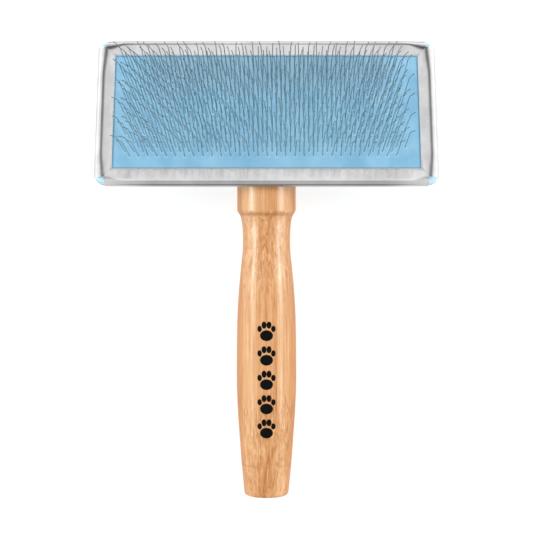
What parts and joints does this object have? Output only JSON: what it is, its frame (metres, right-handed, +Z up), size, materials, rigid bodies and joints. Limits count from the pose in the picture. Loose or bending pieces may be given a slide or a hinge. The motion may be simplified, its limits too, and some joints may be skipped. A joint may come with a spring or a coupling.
{
  "type": "slicker brush",
  "caption": "Grooming brush with a wide angled head, a cushioned pad of bent wire pins clamped by folded metal strips, and a turned bamboo handle.",
  "frame": {"origin": "centre of the flat on the back of the head's hub, on which the brush rests with its pins up", "axes": "+Y from the handle towards the head, +X across the head, +Z up, out of the pins' side"},
  "size_m": [0.125, 0.1692, 0.0424],
  "materials": {
    "head_plastic": "light blue moulded plastic, satin gloss",
    "bamboo": "laminated bamboo, turned and clear lacquered, satin",
    "bright_strip": "bright rolled strip steel, lightly polished",
    "pad_rubber": "sky blue rubber, smooth satin",
    "woven_cloth": "close woven cotton foundation",
    "foam": "open cell foam",
    "pin_wire": "fine drawn steel wire, bright",
    "screw_steel": "plated steel"
  },
  "bodies": {
    "root": {"head_body": "head_plastic", "handle": "bamboo", "retaining_screw": "screw_steel", "trim_top": "bright_strip", "trim_bottom": "bright_strip", "trim_left": "bright_strip", "trim_right": "bright_strip", "pad_facing": "pad_rubber", "pad_cloth": "woven_cloth", "foam_cushion": "foam", "pin_row_01": "pin_wire", "pin_row_02": "pin_wire", "pin_row_03": "pin_wire", "pin_row_04": "pin_wire", "pin_row_05": "pin_wire", "pin_row_06": "pin_wire", "pin_row_07": "pin_wire", "pin_row_08": "pin_wire", "pin_row_09": "pin_wire", "pin_row_10": "pin_wire", "pin_row_11": "pin_wire", "pin_row_12": "pin_wire", "pin_row_13": "pin_wire", "pin_row_14": "pin_wire", "pin_row_15": "pin_wire", "pin_row_16": "pin_wire", "pin_row_17": "pin_wire", "pin_row_18": "pin_wire", "pin_row_19": "pin_wire", "pin_row_20": "pin_wire", "pin_row_21": "pin_wire", "pin_row_22": "pin_wire"}
  },
  "joints": []
}
